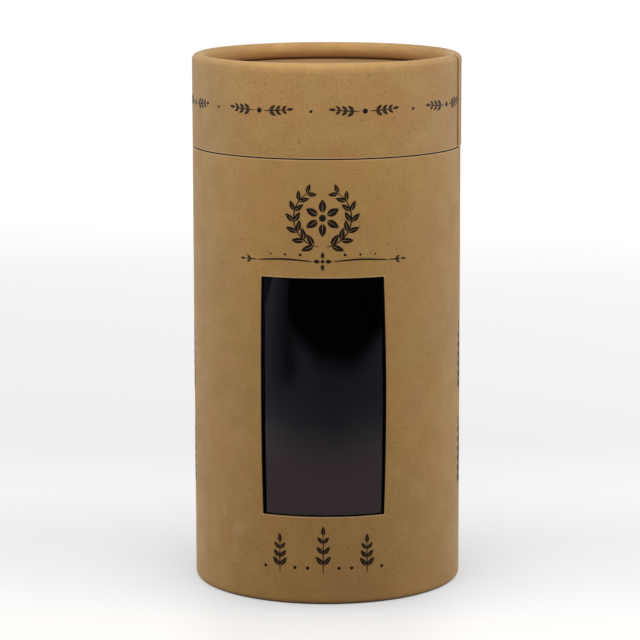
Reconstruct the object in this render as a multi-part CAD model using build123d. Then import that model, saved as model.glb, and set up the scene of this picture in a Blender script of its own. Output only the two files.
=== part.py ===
from build123d import *
from math import degrees
import os

# A kraft paper gift tube: a body with a window, a neck tube glued inside it and a lift-off lid.
# The origin is the centre of the base, +Z is up and the window faces -Y. All lengths are millimetres.
# Angles are degrees round from the front, -Y, towards +X.

# Overall sizes
outer_diameter = 80.0
total_height = 158.9
lid_height = 27.2
split_gap = 0.3
front_direction = -90

# Papers, boards and the glue between them
kraft_paper = 0.2
black_paper = 0.12
glue_line = 0.05
wall_board = 0.75
neck_board = 1.15
disc_board = 1.5
neck_clearance = 0.34
disc_clearance = 0.1
lining_end_gap = 0.3

# Rolled rim and base edge
roll_inner_bend = 0.75
roll_land = 0.3
roll_drop = 1.4
roll_tail = 0.2

# Laps of the two kraft wraps
wrap_lap = 12.0
lid_lap_angle = 75.7
body_lap_angle = 172.0

# Window, its film and the strips that hold the film
window_width = 37.4
window_low = 26.55
window_tall = 70.55
window_corner = 0.5
neck_window_margin = 1.0
film_sheet = 0.25
film_margin = 7.0
tape_thickness = 0.1
tape_width = 6.0
tape_end_gap = 0.3
cut_overrun = 1.0

# Radii of the layers, from the outside in
outer_radius = outer_diameter / 2
board_depth = kraft_paper + glue_line
wall_depth = board_depth + wall_board
wall_radius = outer_radius - wall_depth
lining_radius = wall_radius - glue_line
lid_bore_radius = lining_radius - black_paper
disc_radius = wall_radius - disc_clearance
tape_radius = wall_radius - glue_line
film_radius = tape_radius - tape_thickness - glue_line
film_inner_radius = film_radius - film_sheet

# The neck clears the lid's lining and the film
neck_radius = min(lid_bore_radius - neck_clearance, film_inner_radius - glue_line)
neck_board_radius = neck_radius - black_paper - glue_line
neck_lining_radius = neck_board_radius - neck_board - glue_line
bore_radius = neck_lining_radius - black_paper

# Rolled edge: the wall turns in, crosses a narrow flat land, drops inside itself and curls under
roll_radius = wall_depth + roll_inner_bend
roll_width = 2 * roll_radius + roll_land
recess_depth = 2 * roll_radius + roll_drop

# Heights
lid_edge = total_height - lid_height
split_height = lid_edge - split_gap
facing_low = recess_depth + glue_line
disc_low = facing_low + kraft_paper + glue_line
base_lining_low = disc_low + disc_board + glue_line
end_stack = base_lining_low + black_paper
neck_low = end_stack + glue_line
neck_high = total_height - end_stack
window_high = window_low + window_tall

film_low = window_low - film_margin
film_high = window_high + film_margin


def sweep_of(arc_width, radius=outer_radius):
    """Angle that an arc of this width takes up at a radius."""
    return degrees(arc_width / radius)


def turned(section, start=0, sweep=360):
    """Solid swept round the tube's axis from a section in the radius and height plane."""
    solid = revolve(Plane.XZ * section, axis=Axis.Z, revolution_arc=sweep)
    return Rot(Z=front_direction + start) * solid


def band(inner, outer, low, high, start=0, sweep=360):
    """Ring, or a stretch of one, between two radii and two heights."""
    section = Pos((inner + outer) / 2, (low + high) / 2) * Rectangle(outer - inner, high - low)
    return turned(section, start, sweep)


def disc(radius, low, thickness):
    """Round sheet that lies at a height."""
    return Pos(Z=low) * extrude(Circle(radius), thickness)


def rolled_line(depth, open_end, crest):
    """Line at a depth under the outer face of a wall that is rolled in over its crest."""
    inward = 1 if crest < open_end else -1
    outside = outer_radius - depth
    inside = outer_radius - roll_width + depth
    crest_line = crest + inward * depth
    under_line = crest + inward * (recess_depth - depth)
    tail_end = outer_radius - roll_width + roll_radius + roll_tail
    wall = [(outside, open_end), (outside, crest_line)]
    curl = [(inside, crest_line), (inside, under_line), (tail_end, under_line)]
    return FilletPolyline(*wall, *curl, radius=roll_radius - depth)


def rolled_layer(depth, thickness, open_end, crest):
    """One layer of a rolled wall, as a solid of revolution."""
    outer = rolled_line(depth, open_end, crest)
    inner = rolled_line(depth + thickness, open_end, crest)
    section = make_face(outer + inner + Line(outer @ 0, inner @ 0) + Line(outer @ 1, inner @ 1))
    return turned(section)


def window_cut(inner, outer, margin=0):
    """Block that cuts the window through a wall, with its sides square to the wall."""
    sweep = sweep_of(window_width + 2 * margin)
    low = window_low - margin
    high = window_high + margin
    block = band(inner - cut_overrun, outer + cut_overrun, low, high, -sweep / 2, sweep)
    corners = block.edges().filter_by(GeomType.LINE).filter_by(Axis.Z, reverse=True)
    return fillet(corners, window_corner + margin)


def lap(low, high, start):
    """Second layer of the kraft wrap where its end lies over its beginning."""
    return band(outer_radius, outer_radius + kraft_paper, low, high, start, sweep_of(wrap_lap))


def lid_parts():
    """The lid: a rolled wall, its papers and the disc set in under the roll."""
    crest = total_height
    lining_top = crest - end_stack - lining_end_gap
    facing_top = crest - facing_low
    disc_top = crest - disc_low
    wrap = rolled_layer(0, kraft_paper, lid_edge, crest)
    wrap += lap(lid_edge, crest - roll_radius, lid_lap_angle)
    return {
        "lid_kraft_wrap": wrap,
        "lid_board_tube": rolled_layer(board_depth, wall_board, lid_edge, crest),
        "lid_lining_paper": band(lid_bore_radius, lining_radius, lid_edge, lining_top),
        "lid_top_kraft_facing": disc(disc_radius, facing_top - kraft_paper, kraft_paper),
        "lid_top_board_disc": disc(disc_radius, disc_top - disc_board, disc_board),
        "lid_top_lining_disc": disc(disc_radius, neck_high, black_paper),
    }


def body_parts():
    """The body: a rolled wall with the window, its wrap and the disc set in over the roll."""
    cut = window_cut(wall_radius, outer_radius)
    wrap = rolled_layer(0, kraft_paper, split_height, 0) - cut
    wrap += lap(roll_radius, split_height, body_lap_angle)
    return {
        "body_kraft_wrap": wrap,
        "body_board_tube": rolled_layer(board_depth, wall_board, split_height, 0) - cut,
        "base_kraft_facing": disc(disc_radius, facing_low, kraft_paper),
        "base_board_disc": disc(disc_radius, disc_low, disc_board),
        "base_lining_disc": disc(disc_radius, base_lining_low, black_paper),
    }


def neck_parts():
    """The neck: an inner tube that stands on the base, carries the lid and has its own window."""
    cut = window_cut(bore_radius, neck_radius, neck_window_margin)
    layers = {
        "neck_outer_paper": (neck_radius - black_paper, neck_radius),
        "neck_board_tube": (neck_board_radius - neck_board, neck_board_radius),
        "neck_lining_paper": (bore_radius, neck_lining_radius),
    }
    return {name: band(*radii, neck_low, neck_high) - cut for name, radii in layers.items()}


def window_parts():
    """The clear film behind the window and the four strips that hold it to the wall."""
    film_sweep = sweep_of(window_width + 2 * film_margin)
    side_sweep = sweep_of(tape_width)
    film_start = -film_sweep / 2
    side_low = film_low + tape_width + tape_end_gap
    side_high = film_high - tape_width - tape_end_gap
    strips = {
        "top": (film_high - tape_width, film_high, film_start, film_sweep),
        "bottom": (film_low, film_low + tape_width, film_start, film_sweep),
        "left": (side_low, side_high, film_start, side_sweep),
        "right": (side_low, side_high, -film_start - side_sweep, side_sweep),
    }
    parts = {"window_film": band(film_inner_radius, film_radius, film_low, film_high, film_start, film_sweep)}
    for side, place in strips.items():
        parts[f"window_tape_{side}"] = band(tape_radius - tape_thickness, tape_radius, *place)
    return parts


os.makedirs("parts", exist_ok=True)
for node, shape in {**lid_parts(), **body_parts(), **neck_parts(), **window_parts()}.items():
    shape.label = node
    export_step(shape, f"parts/{node}.step")
print("bore radius", round(bore_radius, 3), "film gap", round(film_inner_radius - neck_radius, 3))
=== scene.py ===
import math

import bmesh
import bpy
from mathutils import Matrix, Vector, noise

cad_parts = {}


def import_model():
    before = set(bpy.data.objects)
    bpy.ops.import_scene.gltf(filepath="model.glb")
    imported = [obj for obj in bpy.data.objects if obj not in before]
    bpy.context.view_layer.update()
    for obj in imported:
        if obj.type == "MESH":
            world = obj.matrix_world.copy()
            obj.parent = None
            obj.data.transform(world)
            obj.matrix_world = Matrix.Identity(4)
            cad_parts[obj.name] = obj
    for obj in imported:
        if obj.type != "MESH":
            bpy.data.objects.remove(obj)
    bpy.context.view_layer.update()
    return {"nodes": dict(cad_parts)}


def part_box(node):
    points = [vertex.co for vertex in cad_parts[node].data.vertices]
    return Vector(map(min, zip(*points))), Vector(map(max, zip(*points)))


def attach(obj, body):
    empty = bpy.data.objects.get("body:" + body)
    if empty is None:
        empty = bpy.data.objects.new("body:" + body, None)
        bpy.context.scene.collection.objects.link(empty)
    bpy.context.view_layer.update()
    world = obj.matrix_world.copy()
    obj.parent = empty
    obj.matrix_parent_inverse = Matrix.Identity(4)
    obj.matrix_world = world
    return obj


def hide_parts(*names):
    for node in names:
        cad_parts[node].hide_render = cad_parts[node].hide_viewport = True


# A kraft paper gift tube with a window: a rolled lid, a body, and black boards and papers inside.
# Angles are degrees round from the front, -Y, towards +X. Lengths are metres.

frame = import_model()

mm = 0.001

# Sizes that the frame gives
outer_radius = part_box("body_kraft_wrap")[1].x
board_depth = outer_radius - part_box("body_board_tube")[1].x
lid_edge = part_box("lid_kraft_wrap")[0].z
total_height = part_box("lid_kraft_wrap")[1].z
split_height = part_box("body_kraft_wrap")[1].z
facing_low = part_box("lid_top_kraft_facing")[0].z
facing_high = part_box("lid_top_kraft_facing")[1].z
facing_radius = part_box("lid_top_kraft_facing")[1].x
film_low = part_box("window_film")[0].z
film_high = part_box("window_film")[1].z
film_radius = -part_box("window_film")[0].y

# Papers and the rolled edges
kraft_paper = 0.2 * mm
wall_board = 0.75 * mm
glue_line = 0.05 * mm
roll_radius = 1.75 * mm
roll_land = 0.3 * mm
roll_tail = 0.2 * mm
roll_fullness = 0.7
roll_step = 9
turning_in = (75, 150)
curling_under = (190, 250)
recess_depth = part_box("base_kraft_facing")[0].z - glue_line
cut_rounding = 0.06 * mm
cut_rounding_shares = (0.8, 0.15)
row_step = 2.6 * mm
column_step = 1
sharp_angle = 38

# Window and its film
window_low = 26.55 * mm
window_high = 97.1 * mm
window_corner = 0.5 * mm
window_half_angle = 26.45
window_bow = 0.68
window_bow_right = 0.2
window_bow_reach = 7.0
window_lean = 0.2
window_lean_fade = 8 * mm
window_flare = 0.12 * mm
window_flare_reach = 8.0
film_sheet = 0.25 * mm
film_half_angle = 36.8
film_column_step = 0.5
film_row_step = 0.8 * mm
film_held_edge = 1.5
film_wave = 0.08 * mm
film_wave_angle = 11.0
film_wave_tall = 34 * mm
crease_columns = (-27.5, -21.0)
crease_column_step = 0.16
crease_angle = -22.2
crease_tall = 10.5 * mm
crease_dip = 0.16 * mm
crease_slope = 0.145

# Laps of the two wraps
lap_width = 12.0 * mm
lid_lap_angle = 76.8
body_lap_angle = 172.0
lap_lift = 0.16 * mm
lap_lift_width = 2.4 * mm
lap_ramp = 3.5 * mm
lap_seat = 0.01 * mm
lap_waver = 9 * mm
lap_last_column = 0.4
lid_lap_turn = 180
body_lap_turn = 63

# Unevenness of the papers
slow_relief = 0.026 * mm
slow_relief_size = 15.0 * mm
fine_relief = 0.01 * mm
fine_relief_size = 4.5 * mm
wrinkle_height = 0.07 * mm
wrinkle_angle = 1.7
fine_wrinkle_angle = 0.8
wrinkle_patch_angle = 14.0
facing_relief = 0.06 * mm
facing_relief_size = 11 * mm
facing_fine_size = 4 * mm
facing_ring_step = 1.6 * mm
facing_column_step = 3

# Printed ink
ink_low = 0.008 * mm
ink_thickness = 0.022 * mm
ink_step = 0.8 * mm

# Print on the body: a wreath and a rule above the window, plants below it and climbers at the sides.
# The dots' and plants' places and sizes, and the climbers' feet, are millimetres.
wreath_height = window_high + 17.5 * mm
wreath_radius = 8.4 * mm
wreath_leaves = 7
wreath_leaf = 3.9 * mm
wreath_blossom = 5.2 * mm
rule_height = window_high + 4.9 * mm
rule_stops = (3.2 * mm, 11 * mm, 19.5 * mm)
rule_rise = 0.5 * mm
rule_blossom = 2.6 * mm
rule_sprig_start = 19.8 * mm
rule_sprig = 4.2 * mm
rule_leaf = 2.1 * mm
rule_dots = ((6.5, 0.42), (11.0, 0.35), (15.5, 0.28))
rule_dot_rise = 1.9 * mm
plants = ((-13.0, 9.0), (0.0, 11.5), (13.0, 9.0))
plant_foot = 9.4 * mm
plant_leaf = 3.6 * mm
plant_dot_aside = 4.6 * mm
plant_dot_height = 11.2 * mm
plant_dot_radius = 0.5 * mm
climber_angles = (-83.0, 83.0)
climber_feet = (27.0, 56.0)
climber_tall = 20.0 * mm
climber_leaf = 4.2 * mm
climber_bend = 0.04

# Print on the lid: a band of twin sprigs with dots between them
band_height = lid_edge + 13.6 * mm
band_count = 8
band_dot = 0.75 * mm
band_gap_dot = 0.45 * mm
band_sprig_start = 1.6 * mm
band_sprig = 7.0 * mm
band_leaf = 2.6 * mm
band_bend = 0.06

# Pale cut edges, painted shade of the gap between lid and body, and painted contact shade along the edge
# that the body stands on: where each starts and ends, and how strong it is
pale_edge_reach = (0.1 * mm, 0.5 * mm)
pale_edge_beside = 1
pale_edge_share = 0.42
split_shade_reach = (0.04 * mm, 0.1 * mm)
split_shade_share = 0.8
standing_shade_heights = (0.3 * mm, 1.1 * mm)
standing_shade_share = 0.95

# Wear and painted highlight on the lid's roll, and painted shade low on its curl and in the seam under it,
# measured in from the wall and down from the top
worn_and_lit_depths = (roll_radius + 1.4 * mm, roll_radius - 0.2 * mm)
worn_and_lit_shares = (0.55, 0.22)
worn_and_lit_patch = 5 * mm
worn_and_lit_patch_shares = (0.85, 1.25)
worn_and_lit_drops = (3.2 * mm, 1.8 * mm)
highlight_aside = (12 * mm, 34 * mm)
highlight_side_share = 0.15
curl_shade_depths = (1.7 * mm, 1.2 * mm)
curl_shade_drops = (4.6 * mm, 2.2 * mm)
curl_shade_share = 0.6
seam_shade_depths = (4.9 * mm, 3.9 * mm)
seam_shade_share = 0.8

# Camera, fitted to the photograph
camera_round = 1.75
camera_distance = 0.92962
camera_height = 0.23697
camera_tilt = 0.16922
camera_yaw = -0.00225
camera_roll = -0.00251
camera_lens = 175.84
camera_sensor = 36.0


# Shapes on the tube

def around(radius, angle, height):
    """Point at a radius, an angle in degrees from the front, and a height."""
    turn = math.radians(angle)
    return Vector((radius * math.sin(turn), -radius * math.cos(turn), height))


def smooth(value, low, high):
    """0 below low and 1 above high, with a smooth rise between them."""
    share = min(1.0, max(0.0, (value - low) / (high - low)))
    return share * share * (3 - 2 * share)


def paper_relief(angle, height):
    """Slow unevenness of the wound paper, the same for every layer."""
    place = around(outer_radius, angle, height)
    slow = noise.noise(place / slow_relief_size)
    fine = noise.noise(place / fine_relief_size)
    return slow_relief * slow + fine_relief * fine


def window_share(height):
    """0 at the window's top and bottom edges and beyond, and 1 at its middle."""
    middle = (window_low + window_high) / 2
    half = (window_high - window_low) / 2
    return max(0.0, 1 - ((height - middle) / half) ** 2)


def beside_window(angle, reach):
    """1 at the window's side edges, and less with the angle away from them."""
    past_edge = (abs(angle) - window_half_angle) / reach
    return math.exp(-past_edge * past_edge)


def flare(angle, height):
    """How far the wall springs out beside the window."""
    return window_flare * window_share(height) * beside_window(angle, window_flare_reach)


def body_relief(angle, height):
    """How far the body's paper stands out."""
    return paper_relief(angle, height) + flare(angle, height)


def bowed(angle, height):
    """Angle of a body column, pushed aside so that the window's sides bow out and its top leans left."""
    bow = window_bow + (window_bow_right if angle > 0 else 0)
    push = math.copysign(bow * window_share(height), angle) if angle else 0.0
    middle = (window_low + window_high) / 2
    above = smooth(height, window_high, window_high + window_lean_fade)
    top = smooth(height, middle, window_high) * (1 - above)
    return angle + (push - window_lean * top) * beside_window(angle, window_bow_reach)


def spread(start, end, step):
    """Evenly spaced values from start to end, about a step apart."""
    count = max(1, round(abs(end - start) / step))
    return [start + (end - start) * i / count for i in range(count + 1)]


def raised(value, power):
    """A value raised to a power, with its sign kept."""
    return math.copysign(abs(value) ** power, value)


def rolled_profile(depth, wall_rows, crest):
    """Radius, height, outward direction and turn down a wall that rolls in and curls under itself."""
    upward = 1 if crest > wall_rows[0] else -1
    bend = roll_radius - depth
    drop = recess_depth - roll_radius - depth
    outer_centre = outer_radius - roll_radius
    inner_centre = outer_centre - roll_land
    crest_centre = crest - upward * roll_radius
    rows = [(outer_radius - depth, height, 1.0, 0.0, 0.0) for height in wall_rows]

    def arc(centre, tall, first, last, fullness=1.0):
        for turn in spread(first, last, roll_step):
            across = raised(math.cos(math.radians(turn)), fullness)
            up = upward * raised(math.sin(math.radians(turn)), fullness)
            facing = Vector((tall * raised(across, 2 / fullness - 1), bend * raised(up, 2 / fullness - 1)))
            facing.normalize()
            rows.append((centre + bend * across, crest_centre + tall * up, facing.x, facing.y, turn))

    arc(outer_centre, bend, 0, 90)
    arc(inner_centre, bend, 90, 180)
    arc(inner_centre, drop, 180, 270, roll_fullness)
    rows.append((inner_centre + roll_tail, crest_centre - upward * drop, 0.0, -upward, 270.0))
    return rows


def unmoved(angle, _):
    """Angle of a column that stays where it is."""
    return angle


def every(*_):
    """Whether a square of a sheet is kept, where all of them are."""
    return True


def shell(name, outer, inner, closed=False, kept=every):
    """Closed sheet between two grids of points, without the squares that aren't kept."""
    rows = len(outer)
    columns = len(outer[0])
    squares = columns if closed else columns - 1
    points = []
    index = {}

    def vertex(side, row, column):
        key = (side, row, column % columns)
        if key not in index:
            index[key] = len(points)
            points.append((outer if side == 0 else inner)[row][column % columns])
        return index[key]

    def present(row, column):
        if closed:
            column %= columns
        return 0 <= row < rows - 1 and 0 <= column < squares and kept(row, column)

    faces = []
    for row in range(rows - 1):
        for column in range(squares):
            if not present(row, column):
                continue
            ring = [(row, column), (row, column + 1), (row + 1, column + 1), (row + 1, column)]
            faces.append([vertex(0, *corner) for corner in ring])
            faces.append([vertex(1, *corner) for corner in reversed(ring)])
            beyond = [(row - 1, column), (row, column + 1), (row + 1, column), (row, column - 1)]
            for side, neighbour in enumerate(beyond):
                if not present(*neighbour):
                    first = ring[side]
                    second = ring[(side + 1) % 4]
                    faces.append([vertex(0, *second), vertex(0, *first),
                                  vertex(1, *first), vertex(1, *second)])
    return finished(name, points, faces)


def placed(name, data):
    """New object in the scene."""
    made = bpy.data.objects.new(name, data)
    bpy.context.scene.collection.objects.link(made)
    return made


def finished(name, points, faces):
    """Mesh object with its normals outward, smooth but for its sharp edges."""
    mesh = bpy.data.meshes.new(name)
    mesh.from_pydata([tuple(point) for point in points], [], faces)
    mesh.update()
    filled = bmesh.new()
    filled.from_mesh(mesh)
    bmesh.ops.recalc_face_normals(filled, faces=filled.faces)
    filled.to_mesh(mesh)
    filled.free()
    mesh.polygons.foreach_set("use_smooth", [True] * len(mesh.polygons))
    mesh.set_sharp_from_angle(angle=math.radians(sharp_angle))
    return placed(name, mesh)


def joined(name, parts):
    """One object made of several."""
    with bpy.context.temp_override(active_object=parts[0], selected_editable_objects=parts):
        bpy.ops.object.join()
    parts[0].name = name
    parts[0].data.name = name
    return parts[0]


def place_rows(rows, angles, relief, shift):
    """Points of one side of a sheet: each profile row at each angle, moved out by the relief."""
    grid = []
    for number, (radius, height, across, up, _) in enumerate(rows):
        line = []
        for angle in angles:
            turned = shift(angle, height)
            out = relief(turned, height, number)
            line.append(around(radius + out * across, turned, max(0.0, height + out * up)))
        grid.append(line)
    return grid


def wall_rows_from(open_end, crest, marks=()):
    """Heights of the rows up a wall, fine at its cut end and at the marked heights."""
    upward = 1 if crest > open_end else -1
    bend_height = crest - upward * roll_radius
    stops = sorted({open_end, bend_height, *marks}, key=lambda height: upward * height)
    heights = [open_end, open_end + upward * cut_rounding, open_end + upward * 3 * cut_rounding]
    start = heights[-1]
    for stop in stops[1:]:
        heights += spread(start, stop, row_step)[1:]
        start = stop
    return heights[:-1]


def wrinkles(angle, inside):
    """Small upright creases that the paper gets where it is turned in."""
    coarse = noise.noise(Vector((angle / wrinkle_angle, 3.1, 0.0)))
    fine = noise.noise(Vector((angle / fine_wrinkle_angle, 7.7, 0.0)))
    ripple = coarse + 0.6 * fine
    patch = smooth(noise.noise(Vector((angle / wrinkle_patch_angle, 1.3, 5.0))), -0.35, 0.35)
    return wrinkle_height * inside * patch * max(0.0, ripple)


def rolled_shell(name, depth, thickness, heights, crest, angles, relief, shift=unmoved, kept=every):
    """One paper or board layer of a rolled wall."""
    outer = rolled_profile(depth, heights, crest)
    inner = rolled_profile(depth + thickness, heights, crest)
    turned_in = [smooth(turn, *turning_in) for *_, turn in outer]
    curled_under = [smooth(turn, *curling_under) for *_, turn in outer]

    def sheet_relief(angle, height, row):
        wall = relief(angle, height) * (1 - turned_in[row])
        return wall + wrinkles(angle, turned_in[row]) * (1 - curled_under[row])

    def outer_relief(angle, height, row):
        rounding = cut_rounding * cut_rounding_shares[row] if row < len(cut_rounding_shares) else 0
        return sheet_relief(angle, height, row) - rounding

    outer_points = place_rows(outer, angles, outer_relief, shift)
    inner_points = place_rows(inner, angles, sheet_relief, shift)
    return shell(name, outer_points, inner_points, True, kept)


def lap(name, heights, crest, start, relief, last_turn):
    """The wrap's outer end, which lies over its beginning and lifts a little along its free edge."""
    profile = [row for row in rolled_profile(0, heights, crest) if row[-1] <= last_turn]
    turns = [turn for *_, turn in profile]
    sweep = math.degrees(lap_width / outer_radius)
    angles = [start + sweep * share * share for share in spread(0, 1, 0.04)]
    angles = sorted({*angles, start + sweep - lap_last_column, start + sweep})

    def under(angle, height, row):
        past = math.radians(angle - start) * outer_radius
        waver = 0.75 + 0.5 * noise.noise(Vector((height / lap_waver, 2.2, start)))
        pressed = 1 - 0.85 * smooth(turns[row], 0, 60)
        lifted = lap_lift * waver * pressed * math.exp(-(past / lap_lift_width) ** 2)
        return relief(angle, height) * (1 - smooth(turns[row], *turning_in)) + lap_seat + lifted

    def over(angle, height, row):
        past = math.radians(angle - start) * outer_radius
        left = 1 - 0.94 * smooth(past, lap_width - lap_ramp, lap_width)
        thinned = 1 - 0.45 * smooth(turns[row], 10, 90)
        end = 1 - 0.9 * smooth(turns[row], last_turn - 50, last_turn)
        return under(angle, height, row) + kraft_paper * left * thinned * end

    grids = [place_rows(profile, angles, side, unmoved) for side in (over, under)]
    return shell(name, *grids)


def lid_layer(name, depth, thickness):
    """One layer of the lid's rolled wall."""
    heights = wall_rows_from(lid_edge, total_height)
    angles = spread(0, 360, column_step)[:-1]
    return rolled_shell(name, depth, thickness, heights, total_height, angles, paper_relief)


def lid_wrap():
    """Kraft wrap of the lid, with its lap."""
    sheet = lid_layer("lid_sheet", 0, kraft_paper)
    heights = wall_rows_from(lid_edge, total_height)
    over = lap("lid_lap", heights, total_height, lid_lap_angle, paper_relief, lid_lap_turn)
    return joined("lid_wrap", [sheet, over])


def body_columns():
    """Angles of the body's columns, with one at each side of the window and some at its corners."""
    corner = math.degrees(window_corner / outer_radius)
    half = [0.0] + spread(0, window_half_angle - corner, column_step)[1:]
    half += [window_half_angle - corner / 2, window_half_angle, window_half_angle + corner]
    half += spread(window_half_angle + corner, 180, column_step)[1:]
    return [-angle for angle in reversed(half[1:-1])] + half


def body_rows():
    """Heights of the body's rows, with one at each edge of the window and some at its corners."""
    marks = []
    for edge, inward in ((window_low, window_corner), (window_high, -window_corner)):
        marks += [edge - inward, edge, edge + inward / 2, edge + inward]
    return wall_rows_from(split_height, 0, marks)


def body_layer(name, depth, thickness):
    """One layer of the body's rolled wall, with the window cut in it."""
    heights = body_rows()
    angles = body_columns()
    edge = window_half_angle * (1 + 1e-6)

    def nearest(values, target):
        return min(range(len(values)), key=lambda i: abs(values[i] - target))

    top = nearest(heights, window_high)
    bottom = nearest(heights, window_low)
    left = nearest(angles, -window_half_angle)
    right = nearest(angles, window_half_angle)

    def kept(row, column):
        return not (top <= row < bottom and left <= column < right)

    def shift(angle, height):
        turned = bowed(angle, height)
        tuck = math.degrees(window_corner / outer_radius) * (1 - math.sqrt(0.5))
        at_corner = min(abs(height - window_low), abs(height - window_high)) < 1e-9
        if at_corner and abs(abs(angle) - window_half_angle) < 1e-9 and abs(angle) < edge:
            turned -= math.copysign(tuck, angle)
        return turned

    return rolled_shell(name, depth, thickness, heights, 0, angles, body_relief, shift, kept)


def body_wrap():
    """Kraft wrap of the body, with its lap at the back."""
    sheet = body_layer("body_sheet", 0, kraft_paper)
    over = lap("body_lap", body_rows(), 0, body_lap_angle, body_relief, body_lap_turn)
    return joined("body_wrap", [sheet, over])


def facing():
    """Kraft disc set in under the lid's roll, a little uneven where it is glued down."""
    rings = spread(0, facing_radius, facing_ring_step)[1:]
    angles = spread(0, 360, facing_column_step)[:-1]
    count = len(angles)

    def top(radius, angle):
        place = around(radius, angle, 0)
        uneven = noise.noise(place / facing_relief_size) + 0.4 * noise.noise(place / facing_fine_size)
        held = smooth(radius, facing_radius * 0.55, facing_radius * 0.95)
        return facing_high + facing_relief * (uneven * 0.5 - 0.5) * (1 - 0.6 * held)

    points = [around(0, 0, top(0, 0)), around(0, 0, facing_low)]
    for radius in rings:
        points += [around(radius, angle, top(radius, angle)) for angle in angles]
    points += [around(facing_radius, angle, facing_low) for angle in angles]
    faces = []
    for i in range(count):
        after = (i + 1) % count
        faces.append((0, 2 + i, 2 + after))
        for ring in range(len(rings)):
            first = 2 + ring * count
            faces.append((first + i, first + count + i, first + count + after, first + after))
        last = 2 + len(rings) * count
        faces.append((1, last + after, last + i))
    return finished("lid_facing", points, faces)


def crease(angle, height):
    """How far the film stands out or dips beside a slanting fold in the window's upper left corner."""
    share = 1 - (window_high - height) / crease_tall
    if share <= 0 or angle > 0:
        return 0.0
    held = 1 - smooth(height, window_high + 0.1 * mm, window_high + 0.7 * mm)
    line = -window_half_angle + (crease_angle + window_half_angle) * share
    dip = crease_dip * share * held
    if angle > line:
        return -dip * math.exp(-(angle - line) / 4.0)
    within = max(angle, -window_half_angle)
    rise = crease_slope * math.radians(line - within) * film_radius * held
    return (rise - dip) * math.exp((angle - within) / 0.6)


def film():
    """Clear film behind the window, slightly wavy where nothing holds it, with a fold in one corner."""
    inner_edge = window_half_angle - film_held_edge
    start, end = crease_columns
    angles = spread(-film_half_angle, start, film_column_step)
    angles += spread(start, end, crease_column_step)[1:]
    angles += spread(end, film_half_angle, film_column_step)[1:]
    heights = spread(film_low, film_high, film_row_step)

    def wave(angle, height):
        free = smooth(inner_edge - abs(angle), 0, 8) * window_share(height)
        place = Vector((angle / film_wave_angle, height / film_wave_tall, 4.0))
        return film_wave * free * noise.noise(place) + crease(angle, height)

    sides = [[[around(radius + wave(a, z), a, z) for a in angles] for z in heights]
             for radius in (film_radius, film_radius - film_sheet)]
    return shell("clear_window", *sides)


# Printed ornament: every motif is a list of strips, and each strip a list of rows across it,
# as points (distance round the tube, height) in metres

def curve(points, step=ink_step):
    """Points along a smooth curve through the given ones."""
    ends = [points[0]] + list(points) + [points[-1]]
    line = []
    for before, start, end, after in zip(ends, ends[1:], ends[2:], ends[3:]):
        count = max(2, round(math.dist(start, end) / step))
        for i in range(count):
            t = i / count
            line.append(tuple(
                0.5 * (2 * b + (c - a) * t + (2 * a - 5 * b + 4 * c - d) * t * t
                       + (3 * b - a - 3 * c + d) * t ** 3)
                for a, b, c, d in zip(before, start, end, after)
            ))
    return line + [tuple(points[-1])]


def stroke(line, width):
    """Strip along a line, with a width given as a function of its share along the line."""
    rows = []
    for i, (u, v) in enumerate(line):
        back = line[max(0, i - 1)]
        ahead = line[min(len(line) - 1, i + 1)]
        du = ahead[0] - back[0]
        dv = ahead[1] - back[1]
        length = math.hypot(du, dv)
        half = width(i / (len(line) - 1)) / 2
        side = (-dv / length * half, du / length * half)
        rows.append([(u + side[0] * k, v + side[1] * k) for k in (-1, 0, 1)])
    return rows


def stepped(base, direction, ahead, aside=0.0):
    """Point ahead of a base in a direction in degrees, and aside to the left of it."""
    turn = math.radians(direction)
    return (base[0] + ahead * math.cos(turn) - aside * math.sin(turn),
            base[1] + ahead * math.sin(turn) + aside * math.cos(turn))


def leaf(base, direction, length, width, bend=0.0):
    """Two half leaves with a thin bare vein between them."""
    vein = 0.05 * length
    halves = []
    for side in (-1, 1):
        rows = []
        for t in spread(0, 1, 0.125):
            curl = bend * length * t * t
            body = width / 2 * math.sin(math.pi * t ** 0.85) ** 0.8 if 0 < t < 1 else 0
            near = vein / 2 * (1 - t)
            far = max(near + 0.02 * mm, body)
            middle = (near + far) / 2
            row = [stepped(base, direction, length * t, curl + side * k) for k in (near, middle, far)]
            rows.append(row)
        halves.append(rows)
    return halves


def dot(centre, radius):
    """Round dot."""
    rows = []
    for turn in spread(8, 172, 18):
        up = -radius * math.cos(math.radians(turn))
        half = radius * math.sin(math.radians(turn))
        rows.append([(centre[0] + half * k, centre[1] + up) for k in (-1, 0, 1)])
    return [rows]


def taper(width, tip=0.35):
    """Width that thins out to a share of itself at both ends."""
    return lambda t: width * (tip + (1 - tip) * math.sin(math.pi * min(1.0, max(0.0, t))) ** 0.6)


def sprig(base, direction, length, leaves, size, bend=0.0, line_width=0.36 * mm):
    """Stem with pairs of leaves that get smaller towards a leaf at its tip."""
    def at(t):
        return stepped(base, direction, length * t, bend * length * t * t)

    strips = [stroke(curve([at(t) for t in (0, 0.35, 0.7, 1)]), taper(line_width))]
    for i in range(leaves):
        t = (i + 0.9) / (leaves + 0.6)
        lean = math.degrees(math.atan2(2 * bend * t, 1))
        small = size * (1 - 0.35 * t)
        for side in (-1, 1):
            strips += leaf(at(t), direction + lean + side * 48, small, small * 0.42, -side * 0.12)
    lean = math.degrees(math.atan2(2 * bend, 1))
    return strips + leaf(at(1), direction + lean, size * 0.8, size * 0.34)


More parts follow.
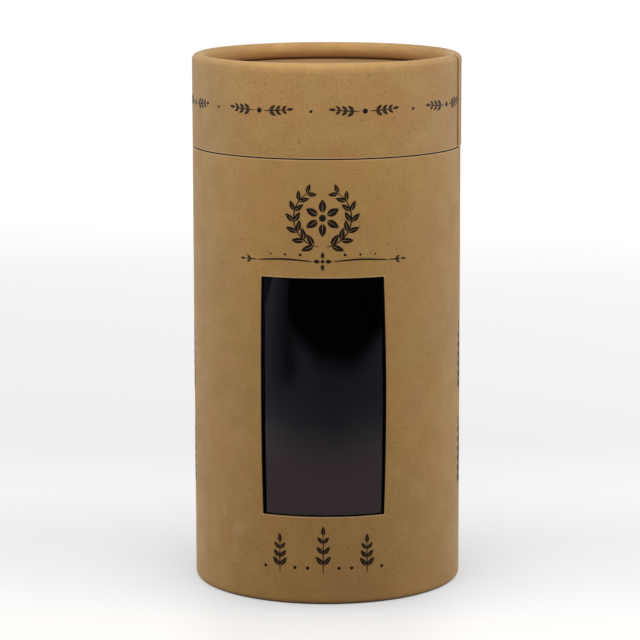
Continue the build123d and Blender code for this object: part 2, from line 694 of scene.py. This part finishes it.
def wreath(centre, radius, leaves, size):
    """Open ring of two leafy branches that start together at the bottom."""
    strips = []
    for side in (-1, 1):
        start = 90 - side * 90
        branch = [stepped(centre, start + side * turn, radius) for turn in spread(-84, 62, 6)]
        strips.append(stroke(branch, taper(0.42 * mm)))
        for i in range(leaves):
            turn = start + side * (-72 + i * 130 / (leaves - 1))
            base = stepped(centre, turn, radius)
            small = size * (1 - 0.3 * i / leaves)
            for lean in (-46, 46):
                bend = -math.copysign(0.1, lean)
                strips += leaf(base, turn + side * 90 + lean, small, small * 0.44, bend)
    return strips


def blossom(centre, petals, size):
    """Flower of pointed petals round a dot."""
    strips = dot(centre, size * 0.2)
    for i in range(petals):
        turn = 90 + i * 360 / petals
        strips += leaf(stepped(centre, turn, size * 0.3), turn, size * 0.75, size * 0.42)
    return strips


def window_rule():
    """Thin rule over the window, with dots above it, a blossom in its middle and a sprig at each end."""
    strips = []
    for side in (-1, 1):
        start, middle, end = (side * stop for stop in rule_stops)
        line = curve([(start, rule_height), (middle, rule_height + rule_rise), (end, rule_height)])
        strips.append(stroke(line, taper(0.5 * mm, 0.3)))
        foot = (side * rule_sprig_start, rule_height)
        strips += sprig(foot, 90 - side * 90, rule_sprig, 1, rule_leaf)
        for aside, radius in rule_dots:
            strips += dot((side * aside * mm, rule_height + rule_dot_rise), radius * mm)
    return strips + blossom((0, rule_height), 4, rule_blossom)


def body_ornament():
    """Wreath and rule above the window, plants below it and climbing sprigs at the sides."""
    strips = wreath((0, wreath_height), wreath_radius, wreath_leaves, wreath_leaf)
    strips += blossom((0, wreath_height), 6, wreath_blossom)
    strips += window_rule()
    for place, tall in plants:
        strips += sprig((place * mm, plant_foot), 90, tall * mm, 3, plant_leaf)
        for side in (-1, 1):
            strips += dot((place * mm + side * plant_dot_aside, plant_dot_height), plant_dot_radius)
    for angle in climber_angles:
        centre = math.radians(angle) * outer_radius
        bend = math.copysign(climber_bend, angle)
        for low in climber_feet:
            strips += sprig((centre, low * mm), 90, climber_tall, 6, climber_leaf, bend)
    return strips


def lid_ornament():
    """Band of twin sprigs round the lid, with a dot between each two, one of them on the lap."""
    step = 2 * math.pi * outer_radius / band_count
    lap_middle = math.radians(lid_lap_angle) * outer_radius + lap_width / 2
    strips = []
    for i in range(-2, band_count - 2):
        gap = lap_middle - i * step
        centre = gap - step / 2
        strips += dot((centre, band_height), band_dot)
        strips += dot((gap, band_height), band_gap_dot)
        for side in (-1, 1):
            foot = (centre + side * band_sprig_start, band_height)
            strips += sprig(foot, 90 - side * 90, band_sprig, 3, band_leaf, side * band_bend)
    return strips


def lid_relief(angle, height):
    """How far the lid's paper stands out, with the second layer along the middle of its lap."""
    off_middle = math.radians(angle - lid_lap_angle) * outer_radius - lap_width / 2
    second_layer = kraft_paper + lap_seat if abs(off_middle) < lap_width / 6 else 0
    return paper_relief(angle, height) + second_layer


def laid(distance_round, height, out, relief):
    """Point of the print on the tube, at a distance out from its paper."""
    angle = math.degrees(distance_round / outer_radius)
    return around(outer_radius + out + relief(angle, height), angle, height)


def printed(name, strips, relief):
    """Ink laid on the tube: every strip is a thin closed sheet just above the paper."""
    parts = []
    for strip in strips:
        layers = []
        for out in (ink_low + ink_thickness, ink_low):
            layers.append([[laid(u, z, out, relief) for u, z in row] for row in strip])
        parts.append(shell(name, *layers))
    return joined(name, parts)


# Materials

def colour(red, green, blue):
    """Linear colour with alpha from an sRGB colour of 0 to 255."""
    def linear(value):
        share = value / 255
        return share / 12.92 if share <= 0.04045 else ((share + 0.055) / 1.055) ** 2.4
    return (linear(red), linear(green), linear(blue), 1.0)


blotch_brown = colour(148, 104, 56)
blush_brown = colour(180, 128, 76)
grain_brown = colour(120, 82, 42)
fibre_pale = colour(205, 172, 124)
scuff_pale = colour(206, 176, 136)
speck_dark = colour(84, 52, 26)
edge_pale = colour(214, 182, 136)
# painted shade of the gap between lid and body
split_shade_dark = colour(50, 33, 16)
# painted contact shade along the edge that the body stands on
standing_shade_dark = colour(44, 28, 14)
# pale of the lid's roll: wear and painted highlight
worn_and_lit_pale = colour(222, 176, 112)
# painted shade low on the lid's curl, warm as light bounced between the curl and the disc
curl_shade_brown = colour(160, 98, 42)
# painted shade in the seam under the rolled edge
seam_shade_dark = colour(62, 36, 18)
sheen_tint = (1.0, 0.93, 0.8, 1.0)
body_tones = (colour(181, 139, 73), colour(174, 137, 73))
lid_tones = (colour(179, 140, 78), colour(173, 138, 78))
disc_tones = (colour(171, 137, 91), colour(161, 128, 82))
board_tones = (colour(9, 8, 8), colour(17, 15, 15))
black_paper_tones = (colour(14, 14, 15), colour(24, 23, 24))
black_fibre = colour(48, 45, 43)
ink_tones = (colour(12, 8, 6), colour(26, 18, 12))
ink_worn = colour(80, 54, 30)
film_tint = colour(252, 252, 255)
tape_tint = colour(246, 244, 236)


def add(tree, kind, inputs=None, **settings):
    """New shader node, with its settings and its inputs, which are values or other nodes' outputs."""
    node = tree.nodes.new("ShaderNode" + kind)
    for name, value in settings.items():
        setattr(node, name, value)
    for socket, value in (inputs or {}).items():
        if isinstance(value, bpy.types.NodeSocket):
            tree.links.new(value, node.inputs[socket])
        else:
            node.inputs[socket].default_value = value
    return node


def maths(tree, operation, *values):
    """Output of a math node."""
    return add(tree, "Math", dict(enumerate(values)), operation=operation).outputs[0]


def times(tree, first, second):
    """Output of a product."""
    return maths(tree, "MULTIPLY", first, second)


def axes(tree, place):
    """A place's X, Y and Z."""
    return add(tree, "SeparateXYZ", {0: place}).outputs


def distance(tree, place):
    """Distance of a place from the origin."""
    return add(tree, "VectorMath", {0: place}, operation="LENGTH").outputs["Value"]


def angle_round(tree, parts):
    """Angle of a place round from the front, in radians."""
    return maths(tree, "ARCTAN2", parts["X"], times(tree, parts["Y"], -1.0))


def mixed(tree, share, first, second):
    """Output of a colour mix."""
    return add(tree, "Mix", {0: share, 6: first, 7: second}, data_type="RGBA").outputs[2]


def ramped(tree, value, low, high, start=0.0, end=1.0):
    """Value stretched from one range to another, and held inside it."""
    inputs = {0: value, 1: low, 2: high, 3: start, 4: end}
    return add(tree, "MapRange", inputs, interpolation_type="SMOOTHSTEP").outputs[0]


def mottled(tree, place, size, detail, stretch=None):
    """Noise of a given size in metres on object coordinates."""
    if stretch:
        place = add(tree, "Mapping", {0: place, 3: stretch}).outputs[0]
    inputs = {"Vector": place, "Scale": 1 / size, "Detail": detail, "Roughness": 0.55}
    return add(tree, "TexNoise", inputs).outputs["Fac"]


def material(name, paint):
    """Material whose nodes are made by a function that returns its shader."""
    made = bpy.data.materials.new(name)
    made.use_nodes = True
    tree = made.node_tree
    tree.nodes.clear()
    place = add(tree, "TexCoord").outputs["Object"]
    surface = paint(tree, place)
    add(tree, "OutputMaterial", {"Surface": surface.outputs[0]})
    return made


def along(tree, level, heights, near, far):
    """1 within a near distance of any of these heights, and 0 past a far one."""
    share = 0.0
    for height in heights:
        away = maths(tree, "ABSOLUTE", maths(tree, "SUBTRACT", level, height))
        share = maths(tree, "MAXIMUM", share, ramped(tree, away, near, far, 1.0, 0.0))
    return share


def pale_edges(tree, place, heights, window=False):
    """1 where the paper is paler: along cut edges at these heights and round the window."""
    parts = axes(tree, place)
    share = along(tree, parts["Z"], heights, *pale_edge_reach)
    if not window:
        return share
    aside = maths(tree, "ABSOLUTE", angle_round(tree, parts))
    edge = math.radians(window_half_angle)
    past_edge = math.radians(window_half_angle + pale_edge_beside)
    beside = ramped(tree, aside, edge, past_edge, 1.0, 0.0)
    ends = along(tree, parts["Z"], (window_low, window_high), *pale_edge_reach)
    return maths(tree, "MAXIMUM", share, times(tree, beside, ends))


def split_painted_shade(tree, place, heights):
    """How dark the paper is right at its cut edges: painted shade of the gap between lid and body."""
    level = axes(tree, place)["Z"]
    return times(tree, along(tree, level, heights, *split_shade_reach), split_shade_share)


def below_wall(tree, parts, depths, start, end):
    """Value that changes between two depths in from the tube's wall, the deeper one first."""
    across = add(tree, "CombineXYZ", {0: parts["X"], 1: parts["Y"]}).outputs[0]
    inner, outer = (outer_radius - depth for depth in depths)
    return ramped(tree, distance(tree, across), inner, outer, start, end)


def below_top(tree, parts, drops, start, end):
    """Value that changes between two drops from the lid's top, the lower one first."""
    low, high = (total_height - drop for drop in drops)
    return ramped(tree, parts["Z"], low, high, start, end)


def rim_wear_and_highlight(tree, place):
    """How pale the paper is where it is stretched over the lid's roll, most of all on its inner side and at
    its front and back: partly wear, partly a painted highlight.
    """
    parts = axes(tree, place)
    worn = below_wall(tree, parts, worn_and_lit_depths, *worn_and_lit_shares)
    patches = ramped(tree, mottled(tree, place, worn_and_lit_patch, 3), 0.35, 0.7, *worn_and_lit_patch_shares)
    near_crest = below_top(tree, parts, worn_and_lit_drops, 0.0, 1.0)
    # painted highlight: the roll is paler at its front and back than at its sides
    front_and_back_highlight = ramped(tree, maths(tree, "ABSOLUTE", parts["X"]), *highlight_aside, 1.0, highlight_side_share)
    return times(tree, times(tree, worn, patches), times(tree, near_crest, front_and_back_highlight))


def curl_painted_shade(tree, place):
    """How brown the paper is low on the lid's inward curl: painted shade, warm as light bounced between the
    curl and the disc.
    """
    parts = axes(tree, place)
    inside = below_wall(tree, parts, curl_shade_depths, 1.0, 0.0)
    return times(tree, inside, below_top(tree, parts, curl_shade_drops, curl_shade_share, 0.0))


def standing_painted_shade(tree, place):
    """How dark the body's paper is along the edge that it stands on: painted contact shade."""
    return ramped(tree, axes(tree, place)["Z"], *standing_shade_heights, standing_shade_share, 0.0)


def seam_painted_shade(tree, place):
    """How dark the discs are in the seam under the rolled edge: painted shade under the roll's overhang."""
    return below_wall(tree, axes(tree, place), seam_shade_depths, 0.0, seam_shade_share)


def layered(tree, base, layers):
    """Base colour with every tone laid over it by its share, the first one lowest."""
    for share, tone in layers:
        base = mixed(tree, share, base, tone)
    return base


def matte(tree, base, rough, gloss, height, strength, depth):
    """Matte surface with a shallow relief."""
    bump = add(tree, "Bump", {"Height": height, "Strength": strength, "Distance": depth})
    return add(tree, "BsdfPrincipled", {
        "Base Color": base, "Roughness": rough, "Normal": bump.outputs[0], "Specular IOR Level": gloss,
    })


def kraft(name, tones, edges=(), window=False, rim=False, seam=False, fibrous=0.2, grained=0.26,
          gloss=0.42, sheen=0.12):
    """Brown kraft paper: tones in patches, fine grain, fibres and dark specks, with, where asked, pale cut
    edges, painted shade at the split and the standing edge, wear and a painted highlight on the rim, and
    painted shade on the curl and in the seam.
    """
    def paint(tree, place):
        patches = ramped(tree, mottled(tree, place, 34 * mm, 3), 0.38, 0.62)
        blotches = mottled(tree, place, 7 * mm, 4)
        blush = ramped(tree, mottled(tree, place, 13 * mm, 3), 0.42, 0.66, 0.0, 0.45)
        grain = mottled(tree, place, 0.5 * mm, 2)
        fibres = mottled(tree, place, 1.1 * mm, 2, (1.0, 1.0, 4.5))
        specks = ramped(tree, mottled(tree, place, 1.0 * mm, 1), 0.71, 0.77)
        scuffs = ramped(tree, mottled(tree, place, 16 * mm, 6), 0.63, 0.74)
        layers = [
            (ramped(tree, blotches, 0.3, 0.7, 0.0, 0.24), blotch_brown),
            (blush, blush_brown),
            (ramped(tree, grain, 0.25, 0.75, 0.0, grained), grain_brown),
            (ramped(tree, fibres, 0.5, 0.8, 0.0, fibrous), fibre_pale),
            (times(tree, scuffs, 0.25), scuff_pale),
            (times(tree, specks, 0.45), speck_dark),
        ]
        if edges:
            edge_paleness = times(tree, pale_edges(tree, place, edges, window), pale_edge_share)
            # painted shade along the split between lid and body, and painted contact shade along the
            # standing edge
            layers += [(edge_paleness, edge_pale), (split_painted_shade(tree, place, edges), split_shade_dark),
                       (standing_painted_shade(tree, place), standing_shade_dark)]
        if rim:
            # wear and painted highlight on the roll, and painted shade low on its curl
            layers += [(rim_wear_and_highlight(tree, place), worn_and_lit_pale), (curl_painted_shade(tree, place), curl_shade_brown)]
        if seam:
            # painted shade in the seam under the rolled edge
            layers.append((seam_painted_shade(tree, place), seam_shade_dark))
        base = layered(tree, mixed(tree, patches, *tones), layers)
        rough = ramped(tree, blotches, 0.3, 0.7, 0.62, 0.74)
        relief = maths(tree, "ADD", times(tree, grain, 0.5), times(tree, blotches, 1.6))
        surface = matte(tree, base, rough, gloss, relief, 0.35, 0.06 * mm)
        surface.inputs["Sheen Weight"].default_value = sheen
        surface.inputs["Sheen Roughness"].default_value = 0.5
        surface.inputs["Sheen Tint"].default_value = sheen_tint
        return surface
    return material(name, paint)


def black_stock(name, tones, grain_size, roughness, relief, gloss):
    """Black board or paper with a faint grain and a few paler fibres."""
    def paint(tree, place):
        grain = mottled(tree, place, grain_size, 4)
        fibres = ramped(tree, mottled(tree, place, 1.6 * mm, 3, (1.0, 1.0, 3.0)), 0.6, 0.72)
        base = mixed(tree, grain, *tones)
        base = mixed(tree, times(tree, fibres, 0.3), base, black_fibre)
        rough = ramped(tree, grain, 0.3, 0.7, roughness - 0.08, roughness + 0.08)
        return matte(tree, base, rough, gloss, grain, 0.4, relief)
    return material(name, paint)


def clear_sheet(name, tint, rough_low, rough_high, smear_size):
    """Clear plastic with faint smears in its gloss."""
    def paint(tree, place):
        smears = ramped(tree, mottled(tree, place, smear_size, 4), 0.35, 0.75, rough_low, rough_high)
        return add(tree, "BsdfPrincipled", {
            "Base Color": tint, "Roughness": smears, "Transmission Weight": 1.0, "IOR": 1.5,
        })
    return material(name, paint)


def ink():
    """Dark printing ink that lets a little of the paper's grain through."""
    def paint(tree, place):
        grain = mottled(tree, place, 0.5 * mm, 2)
        worn = ramped(tree, mottled(tree, place, 3.2 * mm, 4), 0.55, 0.75, 0.0, 0.35)
        base = mixed(tree, grain, *ink_tones)
        base = mixed(tree, worn, base, ink_worn)
        return matte(tree, base, 0.6, 0.25, grain, 0.2, 0.03 * mm)
    return material("ink", paint)


def dress(piece, finish, body, slot, *nodes):
    """Gives a modelled piece its material and its body, and hides the CAD nodes that it stands for; its
    slot is not used.
    """
    piece.data.materials.clear()
    piece.data.materials.append(finish)
    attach(piece, body)
    if nodes:
        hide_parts(*nodes)


def dress_node(node, finish):
    """Gives a CAD node its material."""
    piece = frame["nodes"][node]
    if not piece.material_slots:
        piece.data.materials.append(finish)
    for holder in piece.material_slots:
        holder.material = finish


def build_object():
    """All the pieces of the tube, with their materials."""
    edges = (split_height, lid_edge)
    body_kraft = kraft("body_kraft", body_tones, edges, window=True)
    lid_kraft = kraft("lid_kraft", lid_tones, edges, rim=True, grained=0.35)
    disc_kraft = kraft("disc_kraft", disc_tones, seam=True, fibrous=0.08, grained=0.2, gloss=0.1, sheen=0.0)
    board = black_stock("black_board", board_tones, 0.8 * mm, 0.85, 0.08 * mm, 0.12)
    paper = black_stock("black_paper", black_paper_tones, 1.4 * mm, 0.62, 0.04 * mm, 0.4)
    clear = clear_sheet("clear_film", film_tint, 0.015, 0.05, 22 * mm)
    tape = clear_sheet("clear_tape", tape_tint, 0.12, 0.3, 5 * mm)
    printing = ink()

    dress(body_wrap(), body_kraft, "box", "kraft", "body_kraft_wrap")
    dress(body_layer("body_board", board_depth, wall_board), board, "box", "black_board", "body_board_tube")
    dress(lid_wrap(), lid_kraft, "lid", "kraft", "lid_kraft_wrap")
    dress(lid_layer("lid_board", board_depth, wall_board), board, "lid", "black_board", "lid_board_tube")
    dress(facing(), disc_kraft, "lid", "kraft", "lid_top_kraft_facing")
    dress(film(), clear, "box", "clear_film", "window_film")
    dress(printed("body_print", body_ornament(), body_relief), printing, "box", "kraft")
    dress(printed("lid_print", lid_ornament(), lid_relief), printing, "lid", "kraft")

    dress_node("base_kraft_facing", disc_kraft)
    for node in ("lid_top_board_disc", "base_board_disc", "neck_board_tube"):
        dress_node(node, board)
    for node in ("lid_lining_paper", "lid_top_lining_disc", "base_lining_disc"):
        dress_node(node, paper)
    for side in ("outer", "lining"):
        dress_node("neck_" + side + "_paper", paper)
    for side in ("top", "bottom", "left", "right"):
        dress_node("window_tape_" + side, tape)


# Floor, world, lights and camera

floor_reach = 12.0
floor_camera_albedo = 0.28
floor_bounce_albedo = 0.5
warm_ahead = (-0.07, -0.035)
warm_reach = (0.11, 0.3)
warm_tint = (1.02, 0.985, 0.935, 1)
white = (1, 1, 1, 1)

# The table's painted glow at distances behind the tube, and a painted shadow of the tube round it and in
# front of it
table_glow = ((-0.1, 0.76), (-0.045, 0.742), (-0.005, 0.675), (0.045, 0.613), (0.105, 0.685), (0.14, 0.683),
              (0.19, 0.648), (0.3, 0.678), (0.45, 0.71), (0.6, 0.755), (0.75, 0.85), (0.9, 0.92))
glow_slope = 0.1
contact_shadow = 0.15
contact_reach = 0.02
front_shadow = 0.09
front_shadow_shares = (0.5, 1.2)

# Painted reflection: what the film mirrors, by distance from the tube
mirrored_tones = ((0.12, (0.42, 0.30, 0.31)), (0.2, (0.41, 0.29, 0.30)), (0.235, (0.37, 0.27, 0.28)),
                  (0.272, (0.22, 0.195, 0.21)), (0.308, (0.13, 0.12, 0.15)), (0.348, (0.1, 0.095, 0.128)),
                  (0.4, (0.09, 0.086, 0.115)), (0.65, (0.095, 0.093, 0.118)))
mirrored_reach = 0.8
brighter_past = (0.2, 0.3)
brighter_centre = 8
brighter_half = 45
brighter_share = 0.57
brighter_most = 0.9

# The painted dark room in front, which only mirrored rays see: its near edge, its left edge with a fading
# strip beside it, and the pale sides.
# Turns are in degrees round from the front.
black_start = 0.412
black_softness = 0.0425
black_centre = 12
black_half = 45.5
black_curve = 0.12
black_left = (-34, -31)
black_tone = (0.001, 0.001, 0.003, 1)
fading_past = (0.34, 0.42)
fading_in = (-52, -31)
fading_out = (-28, -18)
fading_share = 0.68
side_turns = (62, 95)
side_tone = (0.85, 0.85, 0.85, 1)

# The world's levels from its front towards its back, as rays that scatter and rays that mirror see it
world_soft_range = (-0.9, 0.3)
world_soft_levels = (0.0, 0.72)
world_sharp_range = (-0.55, 0.0)
world_sharp_levels = (0.01, 1.1)

# Lamps: place, width, height and watts
lamp_target = (0, 0, 0.1)
lamps = {
    "key_light": ((0.0, -0.19, 0.29), 0.25, 0.15, 0.5),
    "left_light": ((-0.76, 0.13, 0.3), 0.3, 0.4, 1.75),
    "right_light": ((0.76, 0.13, 0.3), 0.3, 0.4, 1.95),
}


def ray_shares(tree):
    """Whether a ray comes from the camera, and whether it is a reflection or came through clear film."""
    path = add(tree, "LightPath").outputs
    return path["Is Camera Ray"], maths(tree, "MAXIMUM", path["Is Glossy Ray"], path["Is Transmission Ray"])


def ramp_of(tree, value, stops, low, high):
    """Colour ramp with its stops given in the value's own units."""
    share = maths(tree, "DIVIDE", maths(tree, "SUBTRACT", value, low), high - low)
    ramp = add(tree, "ValToRGB", {0: share})
    band = ramp.color_ramp
    band.interpolation = "LINEAR"
    while len(band.elements) < len(stops):
        band.elements.new(1.0)
    for element, (place, tone) in zip(band.elements, stops):
        element.position = (place - low) / (high - low)
        element.color = (*tone, 1) if isinstance(tone, tuple) else (tone, tone, tone, 1)
    return ramp.outputs[0]


def off_centre(tree, turn, centre, half):
    """Square of how far an angle is from a centre, where 1 is half a width away. All in degrees."""
    away = maths(tree, "SUBTRACT", turn, math.radians(centre))
    share = maths(tree, "ABSOLUTE", maths(tree, "DIVIDE", away, math.radians(half)))
    return maths(tree, "POWER", share, 2.0)


def turned_past(tree, turn, turns, start=0.0, end=1.0):
    """A value that changes between two turns, given in degrees."""
    return ramped(tree, turn, *(math.radians(edge) for edge in turns), start, end)


def lit_table(tree, away, turn):
    """Painted tone of the table that the film mirrors, brighter towards the sides where it is further off.
    """
    tone = ramp_of(tree, away, mirrored_tones, 0.0, mirrored_reach)
    sides = times(tree, off_centre(tree, turn, brighter_centre, brighter_half), brighter_share)
    sides = times(tree, sides, ramped(tree, away, *brighter_past))
    brighter = maths(tree, "ADD", maths(tree, "MINIMUM", sides, brighter_most), 1.0)
    return add(tree, "VectorMath", {0: tone, 3: brighter}, operation="SCALE").outputs["Vector"]


def painted_dark_room(tree, away, turn):
    """How much of the painted dark room past the table is mirrored, with a strip at its left that fades in.
    """
    curve_out = times(tree, off_centre(tree, turn, black_centre, black_half), black_curve)
    past_edge = maths(tree, "SUBTRACT", away, maths(tree, "ADD", curve_out, black_start))
    dark = times(tree, ramped(tree, past_edge, -black_softness, black_softness),
                 turned_past(tree, turn, black_left))
    strip = times(tree, turned_past(tree, turn, fading_in, 0.0, fading_share),
                  turned_past(tree, turn, fading_out, 1.0, 0.0))
    return maths(tree, "MAXIMUM", dark, times(tree, ramped(tree, away, *fading_past), strip))


def painted_reflection(tree, place):
    """Painted reflection for the film: a lit table that fades out in front, with a dark room past it."""
    away = distance(tree, place)
    turn = angle_round(tree, axes(tree, place))
    front = mixed(tree, painted_dark_room(tree, away, turn), lit_table(tree, away, turn), black_tone)
    aside = turned_past(tree, maths(tree, "ABSOLUTE", turn), side_turns)
    return mixed(tree, aside, front, side_tone)


def floor_glow(tree, place):
    """The table's painted glow to the eye, less a painted soft shadow of the tube on it."""
    parts = axes(tree, place)
    away = distance(tree, place)
    glow = ramp_of(tree, parts["Y"], table_glow, table_glow[0][0], table_glow[-1][0])
    glow = maths(tree, "ADD", glow, times(tree, parts["X"], glow_slope))
    outside = maths(tree, "MAXIMUM", maths(tree, "SUBTRACT", away, outer_radius), 0.0)
    fading = maths(tree, "EXPONENT", maths(tree, "DIVIDE", outside, -contact_reach))
    shadow = times(tree, fading, contact_shadow)
    ahead = ramped(tree, parts["Y"], -outer_radius, 0.0, front_shadow, 0.0)
    near, far = (share * outer_radius for share in front_shadow_shares)
    within = ramped(tree, maths(tree, "ABSOLUTE", parts["X"]), near, far, 1.0, 0.0)
    shadow = maths(tree, "ADD", shadow, times(tree, ahead, within))
    return maths(tree, "SUBTRACT", glow, shadow)


def floor_tint(tree, place):
    """Colour of the table's painted glow: white, and a little warm close in front of the tube."""
    ahead = ramped(tree, axes(tree, place)["Y"], *warm_ahead, 1.0, 0.0)
    away = distance(tree, place)
    warm = times(tree, ahead, ramped(tree, away, *warm_reach, 1.0, 0.0))
    return mixed(tree, warm, white, warm_tint)


def floor():
    """White table: to the camera a painted glow and shadow over a dim diffuse tone, to mirrored rays a
    painted reflection, and a plain tone for light that it bounces.
    """
    mesh = bpy.data.meshes.new("floor")
    corners = [(x * floor_reach, y * floor_reach, 0) for x, y in ((-1, -1), (1, -1), (1, 1), (-1, 1))]
    mesh.from_pydata(corners, [], [(0, 1, 2, 3)])
    table = placed("floor", mesh)

    def paint(tree, place):
        seen, mirrored = ray_shares(tree)
        shown = add(tree, "AddShader", {
            0: add(tree, "BsdfDiffuse", {0: (floor_camera_albedo,) * 3 + (1,)}).outputs[0],
            1: add(tree, "Emission", {0: floor_tint(tree, place), 1: floor_glow(tree, place)}).outputs[0],
        })
        bounce = add(tree, "BsdfDiffuse", {0: (floor_bounce_albedo,) * 3 + (1,)})
        mirror = add(tree, "Emission", {0: painted_reflection(tree, place), 1: 1.0})
        unseen = add(tree, "MixShader", {0: mirrored, 1: bounce.outputs[0], 2: mirror.outputs[0]})
        return add(tree, "MixShader", {0: seen, 1: unseen.outputs[0], 2: shown.outputs[0]})

    table.data.materials.append(material("floor", paint))


def world():
    """White surroundings to the eye, softly lit at the sides and the back and dark in front."""
    studio = bpy.data.worlds.new("studio")
    bpy.context.scene.world = studio
    studio.use_nodes = True
    tree = studio.node_tree
    tree.nodes.clear()
    seen, mirrored = ray_shares(tree)
    parts = axes(tree, add(tree, "TexCoord").outputs["Generated"])
    soft = ramped(tree, parts["Y"], *world_soft_range, *world_soft_levels)
    sharp = ramped(tree, parts["Y"], *world_sharp_range, *world_sharp_levels)
    level = add(tree, "Mix", {0: mirrored, 2: soft, 3: sharp}).outputs[0]
    level = add(tree, "Mix", {0: seen, 2: level, 3: 1.0}).outputs[0]
    background = add(tree, "Background", {0: white, 1: level})
    add(tree, "OutputWorld", {0: background.outputs[0]})


def softbox(name, place, width, height, power):
    """Rectangular lamp that faces the tube."""
    lamp = bpy.data.lights.new(name, "AREA")
    lamp.shape = "RECTANGLE"
    lamp.size = width
    lamp.size_y = height
    lamp.energy = power
    box = placed(name, lamp)
    box.location = place
    box.rotation_euler = (Vector(lamp_target) - Vector(place)).to_track_quat("-Z", "Y").to_euler()
    box.visible_camera = False


def lights():
    """A key light above the front and one at each side, a little behind."""
    for name, settings in lamps.items():
        softbox(name, *settings)


def camera():
    """The photograph's view."""
    lens = bpy.data.cameras.new("camera")
    lens.lens = camera_lens
    lens.sensor_width = camera_sensor
    lens.sensor_fit = "HORIZONTAL"
    lens.clip_start = 0.05
    lens.clip_end = 60
    eye = placed("camera", lens)
    aside = math.radians(camera_round)
    place = around(camera_distance, camera_round, camera_height)
    eye.matrix_world = (Matrix.Translation(place) @ Matrix.Rotation(aside - camera_yaw, 4, "Z")
                        @ Matrix.Rotation(math.pi / 2 - camera_tilt, 4, "X")
                        @ Matrix.Rotation(camera_roll, 4, "Z"))
    bpy.context.scene.camera = eye


build_object()
floor()
world()
lights()
camera()
bpy.context.scene.view_settings.view_transform = "Standard"
